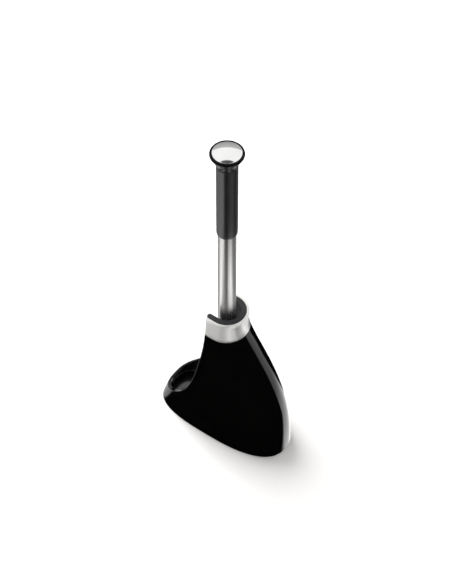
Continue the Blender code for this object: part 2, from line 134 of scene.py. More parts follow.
def skin(loops, closed):
    """Points and faces of a surface through closed loops of as many points each.

    The loops run round in a ring, or else they stand in a row whose ends are capped.
    """
    count, size = len(loops), len(loops[0])
    points = np.concatenate(loops)
    faces = []
    for i in range(count if closed else count - 1):
        a, b = i * size, (i + 1) % count * size
        faces += [(a + k, a + (k + 1) % size, b + (k + 1) % size, b + k) for k in range(size)]
    if not closed:
        faces += [tuple(reversed(range(size))), tuple(range((count - 1) * size, count * size))]
    return points, faces


def turned(name, profile, node, finish, segments=96, centre=(0.0, 0.0), crease=40.0):
    """Turns a closed profile of (radius, z) points about a vertical axis, with poles on the axis."""
    angles = np.arange(segments) * FULL_TURN / segments
    points, rings = [], []
    for radius, z in profile:
        start = len(points)
        if radius < 1e-7:
            points.append((centre[0], centre[1], z))
            rings.append([start] * segments)
            continue
        points += [(centre[0] + radius * math.cos(a), centre[1] + radius * math.sin(a), z)
                   for a in angles]
        rings.append(list(range(start, start + segments)))
    faces = []
    for ring, following in zip(rings, rings[1:] + rings[:1]):
        for i in range(segments):
            j = (i + 1) % segments
            corners = list(dict.fromkeys((ring[i], ring[j], following[j], following[i])))
            if len(corners) > 2:
                faces.append(corners)
    return add_mesh(name, points, faces, node, finish, crease)


def rounded(corners, closed=True, steps=5, hold=0.35 * MM):
    """Polyline of (a, b, fillet radius) corners, with each fillet as an arc.

    Where there is room, a point just outside each end of an arc holds the straight part flat.
    """
    out = []
    count = len(corners)
    for i, (a, b, radius) in enumerate(corners):
        here = np.array([a, b])
        if radius == 0.0 or (not closed and i in (0, count - 1)):
            out.append((a, b))
            continue
        before = np.array(corners[i - 1][:2]) - here
        after = np.array(corners[(i + 1) % count][:2]) - here
        room = min(np.linalg.norm(before), np.linalg.norm(after))
        before, after = before / np.linalg.norm(before), after / np.linalg.norm(after)
        half = math.acos(max(-1.0, min(1.0, float(before @ after)))) / 2
        reach = min(radius / math.tan(half), 0.45 * room)
        radius = reach * math.tan(half)
        middle = (before + after) / np.linalg.norm(before + after)
        centre = here + middle * radius / math.sin(half)
        first, last = here + before * reach - centre, here + after * reach - centre
        sweep = math.pi - 2 * half
        roomy = room > 2.2 * (reach + hold)
        if roomy:
            out.append(tuple(here + before * (reach + hold)))
        for k in range(steps + 1):
            t = k / steps
            weights = math.sin((1 - t) * sweep) / math.sin(sweep), math.sin(t * sweep) / math.sin(sweep)
            out.append(tuple(centre + weights[0] * first + weights[1] * last))
        if roomy:
            out.append(tuple(here + after * (reach + hold)))
    return out


def quarter(count, start=0.0, end=90.0):
    """Rows of (1 - cosine, 1 - sine) over a quarter turn, or between two other angles in degrees."""
    return [(1 - math.cos(a), 1 - math.sin(a)) for a in np.radians(np.linspace(start, end, count))]


def unit_rows(rows):
    """The rows as directions of length 1."""
    return rows / np.linalg.norm(rows, axis=1, keepdims=True)


def bezier(handles, steps):
    """Points along a cubic curve."""
    t = np.linspace(0.0, 1.0, steps + 1)[:, None]
    h = np.array(handles, float)
    return (1 - t) ** 3 * h[0] + 3 * t * (1 - t) ** 2 * h[1] + 3 * t * t * (1 - t) * h[2] + t**3 * h[3]


def evenly(points, count):
    """Positions, as fractional point numbers, that divide a polyline into equal lengths."""
    lengths = np.concatenate([[0.0], np.cumsum(np.linalg.norm(np.diff(points, axis=0), axis=1))])
    return np.interp(np.linspace(0.0, lengths[-1], count), lengths, np.arange(len(points)))


def superellipse(across, along, half_width, reach, roundness):
    """Distance to a superellipse in the direction of (across, along)."""
    sides = (np.abs(across) / half_width) ** roundness + (np.abs(along) / reach) ** roundness
    return sides ** (-1.0 / roundness)


def halve(function, low, high):
    """Where a falling function crosses zero, for arrays of limits."""
    low, high = np.array(low, float), np.array(high, float)
    for _ in range(46):
        middle = (low + high) / 2
        above = function(middle) > 0
        low, high = np.where(above, middle, low), np.where(above, high, middle)
    return (low + high) / 2


# ---------------------------------------------------------------- caddy shell and tray

def shell_point(direction, z, inset):
    """Point of the shell, or of its copy moved inwards, in a direction from the axis at a height."""
    direction, z = np.broadcast_arrays(np.asarray(direction, float), np.asarray(z, float))
    rise = np.clip((z - SHELL_LOW.z) / (SHELL_HIGH.z - SHELL_LOW.z), 0.0, 1.0)
    neck_width, neck_reach = BAND_HIGH.x, BAND_HIGH.y
    width_share = (1.0 - rise ** WIDTH_POWERS[0]) ** WIDTH_POWERS[1]
    spine_share = (1.0 - rise ** SPINE_POWERS[0]) ** SPINE_POWERS[1]
    half_width = neck_width + (SHELL_HIGH.x - neck_width) * width_share - inset
    back = neck_reach + (SHELL_HIGH.y - neck_reach) * spine_share - inset
    front = SHELL_HIGH.y - FRONT_LEAN * rise * (SHELL_HIGH.z - SHELL_LOW.z) - inset
    behind = np.sin(direction) >= 0.0
    back_roundness = BACK_ROUNDNESS[0] + (BACK_ROUNDNESS[1] - BACK_ROUNDNESS[0]) * rise
    roundness = np.where(behind, back_roundness, FRONT_ROUNDNESS)
    reach = np.where(behind, back, front)
    across, along = np.cos(direction), np.sin(direction)
    radius = superellipse(across, along, half_width, reach, roundness)
    return np.stack([radius * across, radius * along, z], axis=-1)


def mouth_line():
    """The open front's side view as a dense line of heights and depths, lowest first."""
    line = np.concatenate([bezier(MOUTH_CURVE, 400), [LIP_END]]) * MM
    return line[::-1, 1], line[::-1, 0]


def rim_of(inset, back_count, mouth_count):
    """Right half of the shell's upper edge, from the spine to the front, as directions and heights."""
    heights, depths = mouth_line()
    top = SHELL_HIGH.z

    def ahead(direction, z):
        """How far a point of the shell is from the mouth's curve, towards the spine."""
        return shell_point(direction, z, inset)[..., 1] - np.interp(z, heights, depths)

    corner = float(halve(lambda a: -ahead(a, top), -QUARTER_TURN, 0.0))
    back = np.linspace(QUARTER_TURN, corner, 2000)
    line = shell_point(back, top, inset)
    back = np.interp(evenly(line, back_count + 1), np.arange(len(back)), back)

    lip_start = 45.0 * MM
    down = np.linspace(top, lip_start, 3000)
    side = halve(lambda a: -ahead(a, down), np.full(down.shape, -QUARTER_TURN), np.zeros(down.shape))
    round_front = np.linspace(side[-1], -QUARTER_TURN, 1500)[1:]
    front = halve(lambda z: ahead(round_front, z), np.full(round_front.shape, LIP_END[1] * MM * 0.9),
                  np.full(round_front.shape, lip_start * 1.2))
    direction, z = np.concatenate([side, round_front]), np.concatenate([down, front])
    where = evenly(shell_point(direction, z, inset), mouth_count + 1)
    steps = np.arange(len(direction))
    direction, z = np.interp(where, steps, direction), np.interp(where, steps, z)
    return np.concatenate([back, direction[1:]]), np.concatenate([np.full(len(back), top), z[1:]])


def base_of(inset, back_count, mouth_count, parting):
    """Directions of the columns' feet, spread evenly behind and in front of a parting direction."""
    found = []
    spans = ((QUARTER_TURN, parting, back_count), (parting, -QUARTER_TURN, mouth_count))
    for start, end, count in spans:
        dense = np.linspace(start, end, 1500)
        line = shell_point(dense, SHELL_LOW.z, inset)
        found.append(np.interp(evenly(line, count + 1), np.arange(len(dense)), dense))
    return np.concatenate([found[0], found[1][1:]])


def step_in(direction, z, inset, distance):
    """Moves rim points along the surface, square to the rim, by a distance."""
    turn, drop = 1e-4, 1e-5
    here = shell_point(direction, z, inset)
    line = np.concatenate([here[1:2] * MIRRORED, here, here[-2:-1] * MIRRORED])
    tangent = unit_rows(line[2:] - line[:-2])
    ahead, behind = shell_point(direction + turn, z, inset), shell_point(direction - turn, z, inset)
    round_way = (ahead - behind) / (2 * turn)
    up_way = (here - shell_point(direction, z - drop, inset)) / drop
    goal = np.cross(unit_rows(np.cross(round_way, up_way)), tangent) * distance
    aa, ab, bb = (round_way**2).sum(1), (round_way * up_way).sum(1), (up_way**2).sum(1)
    ag, bg = (round_way * goal).sum(1), (up_way * goal).sum(1)
    scale = aa * bb - ab**2
    return direction + (ag * bb - bg * ab) / scale, z + (bg * aa - ag * ab) / scale


def bend(start, corner, end, steps):
    """Points of a quadratic curve, for arrays of starts, corners and ends."""
    return [(1 - t) ** 2 * start + 2 * t * (1 - t) * corner + t * t * end
            for t in np.linspace(0.0, 1.0, steps + 1)]


def make_shell():
    """The black cover: an outer and an inner skin in columns, joined by a round rim and foot."""
    back_count, mouth_count, rows = 48, 96, 46
    round_rim, round_foot, hold = 1.1 * MM, 0.8 * MM, 0.5 * MM
    parting = math.radians(12.0)
    columns, rims = {}, {}
    for side, inset in (("outer", 0.0), ("inner", SHELL_WALL)):
        direction, z = rim_of(inset, back_count, mouth_count)
        rims[side] = shell_point(direction, z, inset)
        rim_direction, rim_z = step_in(direction, z, inset, round_rim)
        foot = base_of(inset, back_count, mouth_count, parting)
        foot_z = SHELL_LOW.z + round_foot
        column = shell_point(rim_direction, rim_z, inset) - shell_point(foot, foot_z, inset)
        near = (hold / np.linalg.norm(column, axis=1))[:, None]
        between = near + (1 - 2 * near) * np.linspace(0.0, 1.0, rows)[None, :]
        share = np.concatenate([0 * near, between, 0 * near + 1], axis=1)
        row_direction = foot[:, None] + (rim_direction - foot)[:, None] * share
        row_z = foot_z + (rim_z - foot_z)[:, None] * share
        columns[side] = shell_point(row_direction, row_z, inset)
        columns[side + "_foot"] = shell_point(foot, SHELL_LOW.z, inset)
    outer, inner = columns["outer"], columns["inner"]
    across = unit_rows(rims["inner"] - rims["outer"])
    rim = bend(outer[:, -1], rims["outer"], rims["outer"] + across * round_rim, 6)[1:]
    rim += bend(rims["inner"] - across * round_rim, rims["inner"], inner[:, -1], 6)[:-1]
    outer_foot, inner_foot = columns["outer_foot"], columns["inner_foot"]
    across = unit_rows(outer_foot - inner_foot)
    foot = bend(inner[:, 0], inner_foot, inner_foot + across * round_foot, 4)[1:]
    foot += bend(outer_foot - across * round_foot, outer_foot, outer[:, 0], 4)[:-1]
    parts = [outer, np.stack(rim, axis=1), inner[:, ::-1], np.stack(foot, axis=1)]
    right = np.concatenate(parts, axis=1)
    left = right[-2:0:-1] * MIRRORED
    points, faces = skin(list(right) + list(left), closed=True)
    add_mesh("caddy_shell", points, faces, "cover_shell", "gloss_black", 60.0)


def level_loop(count):
    """Directions that spread points evenly round the shell's foot."""
    dense = np.linspace(0.0, FULL_TURN, 4001)
    line = shell_point(dense, SHELL_LOW.z, 0.0)
    return np.interp(evenly(line, count + 1)[:-1], np.arange(len(dense)), dense)


def make_tray():
    """The drip tray: a thin upright wall that runs into its floor, as (inset, height) round the shell."""
    low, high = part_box("base_tray")
    outer = SHELL_HIGH.x - high.x
    wall, floor, underside, middle = 2.2 * MM, 13.0 * MM, 8.0 * MM, 30.0 * MM
    profile = rounded([(middle, underside, 0.0), (outer + wall, underside, 0.8 * MM),
                       (outer + wall, low.z, 0.4 * MM), (outer, low.z, 0.5 * MM),
                       (outer, high.z, 0.2 * MM)], closed=False, steps=5)
    profile += bezier([(outer + 0.1 * MM, high.z), (outer + 0.3 * MM, floor + 0.5 * MM),
                       (outer + 0.8 * MM, floor), (outer + 2 * MM, floor)], 8).tolist()
    profile += [(middle, floor)]
    directions = level_loop(200)
    loops = [shell_point(directions, z, inset) for inset, z in profile]
    points, faces = skin(loops, closed=False)
    tray = add_mesh("caddy_tray", points, faces, "base_tray", "gloss_black")
    tray.data.materials[0] = FINISHES["tray_black"]


# ---------------------------------------------------------------- collar

def egg_point(direction, half_width, back):
    """Level outline of the collar: round behind, and drawn out into two arms in front."""
    across, along = np.cos(direction), np.sin(direction)
    behind = along >= 0.0
    roundness = np.where(behind, 2.0, ARM_ROUNDNESS)
    radius = superellipse(across, along, half_width, np.where(behind, back, ARM_REACH), roundness)
    return radius * across, radius * along


def arm_direction(half_width, y):
    """Direction from the axis in which the collar's outline has a given depth on its right arm."""
    x = half_width * (1.0 - (-y / ARM_REACH) ** ARM_ROUNDNESS) ** (1.0 / ARM_ROUNDNESS)
    return np.arctan2(y, x)


def through(levels, steps):
    """Smooth curve through rows of numbers, whose first one rises."""
    rows = np.array(levels, float)
    ends = np.concatenate([2 * rows[:1] - rows[1:2], rows, 2 * rows[-1:] - rows[-2:-1]])
    out = []
    for i in range(1, len(ends) - 2):
        for k in range(steps):
            t = k / steps
            a, b, c, d = ends[i - 1:i + 3]
            out.append(0.5 * (2 * b + (c - a) * t + (2 * a - 5 * b + 4 * c - d) * t * t
                              + (3 * b - a - 3 * c + d) * t**3))
    return np.array(out + [rows[-1]])


def make_collar():
    """The metal band: its outside flares at the foot and turns out to a rolled lip."""
    bottom, top, height = BAND_LOW.z, BAND_HIGH.z, BAND_HIGH.z - BAND_LOW.z
    wall, lip, edge, end = 3.0 * MM, 0.9 * MM, 0.35 * MM, 0.6 * MM
    waist, bore = 31.2 * MM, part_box("collar_insert")[1].x + 0.3 * MM
    levels = ((edge / height, BAND_HIGH.x, BAND_HIGH.y),
              (0.12, BAND_HIGH.x - 1.7 * MM, BAND_HIGH.y - 1.6 * MM),
              (0.34, waist + 2.2 * MM, waist + 0.2 * MM),
              (0.60, waist + 1.6 * MM, waist),
              (0.86, waist + 2.0 * MM, waist + 1.75 * MM),
              (1.0 - lip / height, waist + 2.1 * MM, waist + 2.1 * MM))
    profile = [(bottom + height * share, w, b) for share, w, b in through(levels, 5)]
    _, foot_width, foot_back = profile[0]
    _, w, b = profile[-1]
    profile += [(top - lip * s, w - lip * c, b - lip * c) for c, s in quarter(7)[1:]]
    profile += [(top - edge * c, bore + edge * s, bore + edge * s) for c, s in quarter(5)]
    profile += [(z, bore, bore) for z in (top - 2 * edge, bottom + height * 0.36, bottom + height * 0.3)]
    w, b = foot_width - wall, foot_back - wall
    profile += [(bottom + height * 0.1, w - 1.5 * MM, b - 1.5 * MM)]
    profile += [(bottom + edge * s, w + edge * c, b + edge * c) for c, s in quarter(4)]
    profile += [(bottom + edge * c, foot_width - edge * s, foot_back - edge * s) for c, s in quarter(4)[:-1]]
    z, half_width, back = np.array(profile).T
    side = np.stack([half_width, z], axis=1)
    along = unit_rows(np.roll(side, -1, axis=0) - np.roll(side, 1, axis=0))
    inward, up = -along[:, 1], along[:, 0]

    def loop(direction, shrink=0.0):
        """The profile stood up in a direction for each point, drawn in towards its middle."""
        x, y = egg_point(direction, half_width, back)
        return np.stack([x + shrink * inward * np.cos(direction), y + shrink * inward * np.sin(direction),
                         z + shrink * up], axis=1)

    arm_end = BAND_LOW.y
    start = arm_direction(half_width, arm_end + end)
    loops = []
    for c, s in quarter(5, 90.0, 0.0)[:-1]:
        turned_in = loop(arm_direction(half_width, arm_end + end * s), end * c)
        turned_in[:, 1] = arm_end + end * s
        loops.append(turned_in)
    loops += [loop(start + (QUARTER_TURN - start) * t) for t in (0.0, 0.006, *np.linspace(0.02, 1.0, 56))]
    loops += [points * MIRRORED for points in loops[-2::-1]]
    points, faces = skin(loops, closed=False)
    add_mesh("collar_ring", points, faces, "collar_band", "satin_steel")


def make_insert():
    """The liner that grips the tube: flat on top, with a round-backed channel and rounded arm ends."""
    low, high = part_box("collar_insert")
    channel = 20.5 * MM
    width, end_round, edge = high.x - channel, 3.2 * MM, 0.6 * MM
    section = np.array(rounded([(0.0, low.z, 0.3 * MM), (width, low.z, 0.3 * MM), (width, high.z, edge),
                                (0.0, high.z, 1.2 * edge)]))
    share, z = section[:, 0] / width, section[:, 1]

    def loop(inner, outer, squeeze=0.0):
        """The section stood up between two level points, made narrower by a squeeze at each side."""
        inner, outer = np.array(inner), np.array(outer)
        span = np.linalg.norm(outer - inner)
        part = 0.5 + (share - 0.5) * (1.0 - 2.0 * squeeze / span)
        flat = inner + part[:, None] * (outer - inner)
        return np.column_stack([flat, z])

    def arm(y, squeeze=0.0):
        direction = arm_direction(high.x, y)
        x, _ = egg_point(direction, high.x, high.x)
        return loop((channel, y), (float(x), y), squeeze)

    loops = [arm(low.y + end_round * s, end_round * c) for c, s in quarter(10, 88.0, 0.0)]
    loops += [arm(y) for y in np.linspace(low.y + end_round, 0.0, 8)[1:-1]]
    for a in np.radians(np.linspace(0.0, 90.0, 31)):
        direction = np.array((math.cos(a), math.sin(a)))
        loops.append(loop(channel * direction, high.x * direction))
    loops += [points * MIRRORED for points in loops[-2::-1]]
    points, faces = skin(loops, closed=False)
    add_mesh("collar_liner", points, faces, "collar_insert", "insert_grey")


# ---------------------------------------------------------------- plunger

SLACK = 0.3 * MM
TUBE_WALL = 1.2 * MM
TUBE_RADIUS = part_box("rod_tube")[1].x
SLEEVE_BORE = TUBE_RADIUS + SLACK


def make_tube():
    """The steel tube, with both ends broken by small rounds."""
    low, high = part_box("rod_tube")
    radius, bore, edge = high.x, high.x - TUBE_WALL, 0.3 * MM
    turned("plunger_tube", rounded([(bore, low.z, edge), (radius, low.z, edge), (radius, high.z, edge),
                                    (bore, high.z, edge)]), "rod_tube", "brushed_tube", 128)


def make_grip():
    """The grip sleeve, which tapers into the tube at its lower end by a long elliptical round."""
    low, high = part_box("grip_sleeve")
    outer, across, along = high.x, 1.6 * MM, 5.0 * MM
    profile = [(outer - across * c, low.z + along * s) for c, s in quarter(15, 90.0, 0.0)]
    profile += [(outer, low.z + 1.2 * along), (outer, high.z - 1.2 * MM)]
    profile += rounded([(outer, high.z - MM, 0.0), (outer, high.z, 0.5 * MM), (SLEEVE_BORE, high.z, 0.0)],
                       closed=False)[1:]
    profile += [(SLEEVE_BORE, low.z + 0.4 * MM), (SLEEVE_BORE, low.z)]
    turned("plunger_grip", profile, "grip_sleeve", "grip_black", 128)


def make_cap():
    """The flared end cap: a plug in the tube, a swept neck, an oval rim and a seat for the disc."""
    low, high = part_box("end_cap")
    disc_low, disc_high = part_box("end_disc")
    grip_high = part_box("grip_sleeve")[1]
    outer, neck, top, rim = grip_high.x, grip_high.z + SLACK, high.z, high.x
    plug, hole, pocket, seat = TUBE_RADIUS - TUBE_WALL - SLACK, 2.4 * MM, 5.0 * MM, disc_high.x + SLACK
    seat_floor, lip, lip_height = disc_low.z - SLACK, 2.7 * MM, 3.2 * MM
    pocket_floor = seat_floor - 4 * MM
    flare = bezier([(outer, neck), (outer + 0.4 * MM, neck + 4 * MM), (outer + 3 * MM, neck + 11 * MM),
                    (rim - MM, top - 6 * MM)], 24)
    profile = [(hole, low.z), (plug, low.z), (plug, neck), (outer - 0.4 * MM, neck)]
    profile += [tuple(p) for p in flare[1:]]
    profile += [(rim - lip * c, top - lip_height * s) for c, s in quarter(14, -20.0)]
    profile += [(seat + 0.15 * MM, top - 0.05 * MM), (seat, top - 0.25 * MM), (seat, seat_floor)]
    profile += [(pocket, seat_floor), (pocket, pocket_floor), (hole, pocket_floor)]
    turned("plunger_cap", profile, "end_cap", "cap_black", 128)


def make_disc():
    """The polished disc: a shallow dome, part of a ball, with a soft edge."""
    low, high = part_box("end_disc")
    radius, dome, soft = high.x, 2.6 * MM, 0.5 * MM
    ball = (radius**2 + dome**2) / (2 * dome)
    domed = [(r, high.z - ball + math.sqrt(ball**2 - r**2)) for r in np.linspace(0.0, radius - soft, 26)]
    rim_z = domed[-1][1]
    profile = [(0.0, low.z), (radius - 0.3 * MM, low.z), (radius, low.z + 0.3 * MM)]
    profile += [(radius, high.z - dome - 0.6 * MM)]
    profile += [(radius - soft * c, rim_z - soft * s) for c, s in quarter(7, end=75.0)]
    turned("plunger_disc", profile + domed[::-1], "end_disc", "polished_disc", 160)


def make_ferrule():
    """The ring that covers the joint between the tube and the cup."""
    low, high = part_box("neck_ferrule")
    wide, mouth, shoulder = high.x, 16.6 * MM, low.z + 6 * MM
    turned("neck_ring", rounded([
        (mouth, low.z, 0.3 * MM), (wide, low.z, 0.6 * MM), (wide, shoulder, 1.5 * MM),
        (SLEEVE_BORE + 1.2 * MM, high.z, 0.5 * MM), (SLEEVE_BORE, high.z, 0.3 * MM),
        (SLEEVE_BORE, shoulder, 0.2 * MM), (mouth, shoulder, 0.2 * MM)]), "neck_ferrule", "satin_steel", 96)


def make_cup():
    """The rubber cup: a bell with three raised rings, a beaded rim and a flange folded up inside."""
    low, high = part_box("rubber_cup")
    radius, bottom, hub_top = high.x, low.z, high.z
    hub, wall, hole, bead = 19.0 * MM, 4.0 * MM, 4.3 * MM, 2.0 * MM
    ceiling, shoulder, flange, flange_foot = 58.0 * MM, 68.0 * MM, 27.0 * MM, 18.0 * MM
    bell = bezier([(radius - 1.5 * MM, 20 * MM), (radius - 2.5 * MM, 49 * MM), (hub + 7 * MM, 60 * MM),
                   (hub, shoulder)], 40)
    shares = np.linspace(0.0, 1.0, len(bell))
    along = unit_rows(np.gradient(bell, axis=0))
    outward = np.stack([along[:, 1], -along[:, 0]], axis=1)
    for place, proud in ((0.34, 0.55 * MM), (0.48, 0.5 * MM), (0.62, 0.45 * MM)):
        bell = bell + outward * (proud * np.exp(-((shares - place) / 0.022) ** 2))[:, None]
    inside = bezier([(flange, 48 * MM), (radius - 11 * MM, 44 * MM), (radius - wall - 3 * MM, 34 * MM),
                     (radius - wall, bottom + MM)], 20)
    profile = [(radius - wall + MM, bottom), (radius - bead - 0.6 * MM, bottom)]
    profile += [(radius - bead + bead * math.cos(a), bottom + 2.5 * MM + bead * math.sin(a))
                for a in np.radians(np.linspace(-62.0, 80.0, 12))]
    profile += [tuple(p) for p in bell]
    profile += rounded([(hub, shoulder, 0.0), (hub, hub_top, 1.4 * MM), (hole, hub_top, 0.3 * MM),
                        (hole, ceiling, 0.3 * MM), (flange - 5.5 * MM, ceiling, 2.5 * MM),
                        (flange - 5 * MM, flange_foot, 1.2 * MM), (flange - 2 * MM, flange_foot, 1.2 * MM),
                        (flange, 48 * MM, 0.0)], closed=False)[1:-1]
    profile += [tuple(p) for p in inside]
    cup = turned("plunger_cup", profile, "rubber_cup", "cup_rubber", 128)
    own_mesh(cup)


def washer(name, node):
    """A washer as large as its CAD node, with eased edges."""
    low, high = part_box(node)
    hole, edge = 4.4 * MM, 0.3 * MM
    turned(name, rounded([(hole, low.z, edge), (high.x, low.z, edge), (high.x, high.z, edge),
                          (hole, high.z, edge)], steps=4), node, "plated_steel", 64)


def make_fastening():
    """Washers, threaded stud and nut that hold the cup."""
    washer("washer_upper", "cup_washer_upper")
    washer("washer_lower", "cup_washer_lower")
    low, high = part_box("cup_stud")
    radius, pitch, core = high.x, 1.25 * MM, high.x - 0.55 * MM
    profile = [(0.0, low.z), (core - 0.3 * MM, low.z), (core, low.z + 0.4 * MM)]
    for i in range(int((high.z - low.z - 1.6 * MM) / pitch)):
        z = low.z + 0.7 * MM + i * pitch
        profile += [(core, z), (radius, z + 0.45 * pitch), (radius, z + 0.6 * pitch)]
    profile += [(core, high.z - 0.5 * MM), (core - 0.3 * MM, high.z), (0.0, high.z)]
    turned("cup_thread", profile, "cup_stud", "plated_steel", 32, crease=30.0)
    make_nut()


def make_nut():
    """A hexagonal nut with chamfered corners, as loops from the bore out over the flats and back."""
    low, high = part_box("cup_nut")
    hole, chamfer, segments, sixth = 4.35 * MM, 0.5 * MM, 96, math.pi / 3
    angles = np.arange(segments) * FULL_TURN / segments
    apothem = high.x * math.cos(sixth / 2)
    flats = apothem / np.cos((angles % sixth) - sixth / 2)
    face = apothem * 0.97
    cone = (flats - face) * math.tan(math.radians(30.0))
    levels = ((hole, low.z + chamfer), (hole + chamfer, low.z), (face, low.z), (flats, low.z + cone),
              (flats, high.z - cone), (face, high.z), (hole + chamfer, high.z), (hole, high.z - chamfer))
    loops = [np.stack([radius * np.cos(angles), radius * np.sin(angles), np.broadcast_to(z, angles.shape)],
                      axis=1) for radius, z in levels]
    points, faces = skin(loops, closed=True)
    add_mesh("cup_hex_nut", points, faces, "cup_nut", "plated_steel", 25.0)


def middle_of(low, high):
    """Level middle of a box."""
    return (low.x + high.x) / 2, (low.y + high.y) / 2


def make_feet():
    """Four soft feet with a groove round the sole, and the four screws of the base."""
    for number in range(1, 5):
        low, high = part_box(f"foot_pad_{number}")
        radius, groove = (high.x - low.x) / 2, 0.35 * MM
        sole = [(0.0, 0.0, 0.0), (0.45 * radius, 0.0, 0.2 * MM), (0.5 * radius, groove, 0.1 * MM),
                (0.58 * radius, groove, 0.1 * MM), (0.63 * radius, 0.0, 0.2 * MM),
                (radius, 0.0, 0.45 * MM), (radius, high.z, 0.2 * MM), (0.0, high.z, 0.0)]
        turned(f"foot_{number}", rounded(sole, closed=False, steps=3, hold=0.1 * MM),
               f"foot_pad_{number}", "foot_rubber", 48, middle_of(low, high))
        low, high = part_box(f"base_screw_{number}")
        head, shank, core, pitch = (high.x - low.x) / 2, 1.9 * MM, 1.5 * MM, 1.4 * MM
        profile = [(0.0, low.z + 0.7 * MM), (0.9 * MM, low.z + 0.6 * MM), (1.5 * MM, low.z),
                   (head - 0.2 * MM, low.z), (head, low.z + 0.2 * MM), (head, low.z + 0.5 * MM),
                   (core, 2.9 * MM)]
        for i in range(int((high.z - 4.5 * MM) / pitch)):
            z = 3.3 * MM + i * pitch
            profile += [(core, z), (shank, z + 0.35 * pitch), (core, z + 0.7 * pitch)]
        turned(f"screw_{number}", profile + [(0.0, high.z)], f"base_screw_{number}", "plated_steel", 32,
               middle_of(low, high), 30.0)


# ---------------------------------------------------------------- materials

NOISE_MIDDLE = (0.3, 0.7)


def node_of(tree, kind, **settings):
    """A new node with its settings made."""
    node = tree.nodes.new(kind)
    for name, value in settings.items():
        setattr(node, name, value)
    return node


def noise(tree, where, stretch, scale, detail):
    """A noise over the surface, stretched along its axes."""
    mapping = node_of(tree, "ShaderNodeMapping")
    mapping.inputs["Scale"].default_value = stretch
    texture = node_of(tree, "ShaderNodeTexNoise")
    texture.inputs["Scale"].default_value = scale
    texture.inputs["Detail"].default_value = detail
    tree.links.new(where, mapping.inputs["Vector"])
    tree.links.new(mapping.outputs["Vector"], texture.inputs["Vector"])
    return texture.outputs["Fac"]


def spread(tree, value, low, high):
    """Maps the middle of a noise onto a range."""
    node = node_of(tree, "ShaderNodeMapRange")
    for socket, number in zip(("From Min", "From Max", "To Min", "To Max"), (*NOISE_MIDDLE, low, high)):
        node.inputs[socket].default_value = number
    tree.links.new(value, node.inputs["Value"])
    return node.outputs["Result"]


def surface(name, dark, light, roughness, tone, grain, metallic=0.0, tangent_axis=None, **sockets):
    """A material whose colour drifts with one noise and whose roughness and relief follow a finer one.

    tone is (stretch, scale, detail), and grain is (stretch, scale, detail, height in metres).
    """
    material = bpy.data.materials.new(name)
    material.use_nodes = True
    tree = material.node_tree
    shader = tree.nodes["Principled BSDF"]
    shader.inputs["Metallic"].default_value = metallic
    for socket, value in sockets.items():
        shader.inputs[socket.replace("_", " ")].default_value = value
    if tangent_axis:
        tangent = node_of(tree, "ShaderNodeTangent", direction_type="RADIAL", axis=tangent_axis)
        tree.links.new(tangent.outputs["Tangent"], shader.inputs["Tangent"])
    where = node_of(tree, "ShaderNodeTexCoord").outputs["Object"]
    ramp = node_of(tree, "ShaderNodeValToRGB")
    for element, place, colour in zip(ramp.color_ramp.elements, NOISE_MIDDLE, (dark, light)):
        element.position = place
        element.color = (*np.broadcast_to(colour, 3).tolist(), 1.0)
    tree.links.new(noise(tree, where, *tone), ramp.inputs["Fac"])
    tree.links.new(ramp.outputs["Color"], shader.inputs["Base Color"])
    *pattern, height = grain
    fine = noise(tree, where, *pattern)
    tree.links.new(spread(tree, fine, *roughness), shader.inputs["Roughness"])
    bump = node_of(tree, "ShaderNodeBump")
    bump.inputs["Distance"].default_value = height
    tree.links.new(fine, bump.inputs["Height"])
    tree.links.new(bump.outputs["Normal"], shader.inputs["Normal"])
    return material


EVEN = (1.0, 1.0, 1.0)
LENGTHWISE = (1.0, 1.0, 0.012)
ROUND = (0.03, 0.03, 1.0)

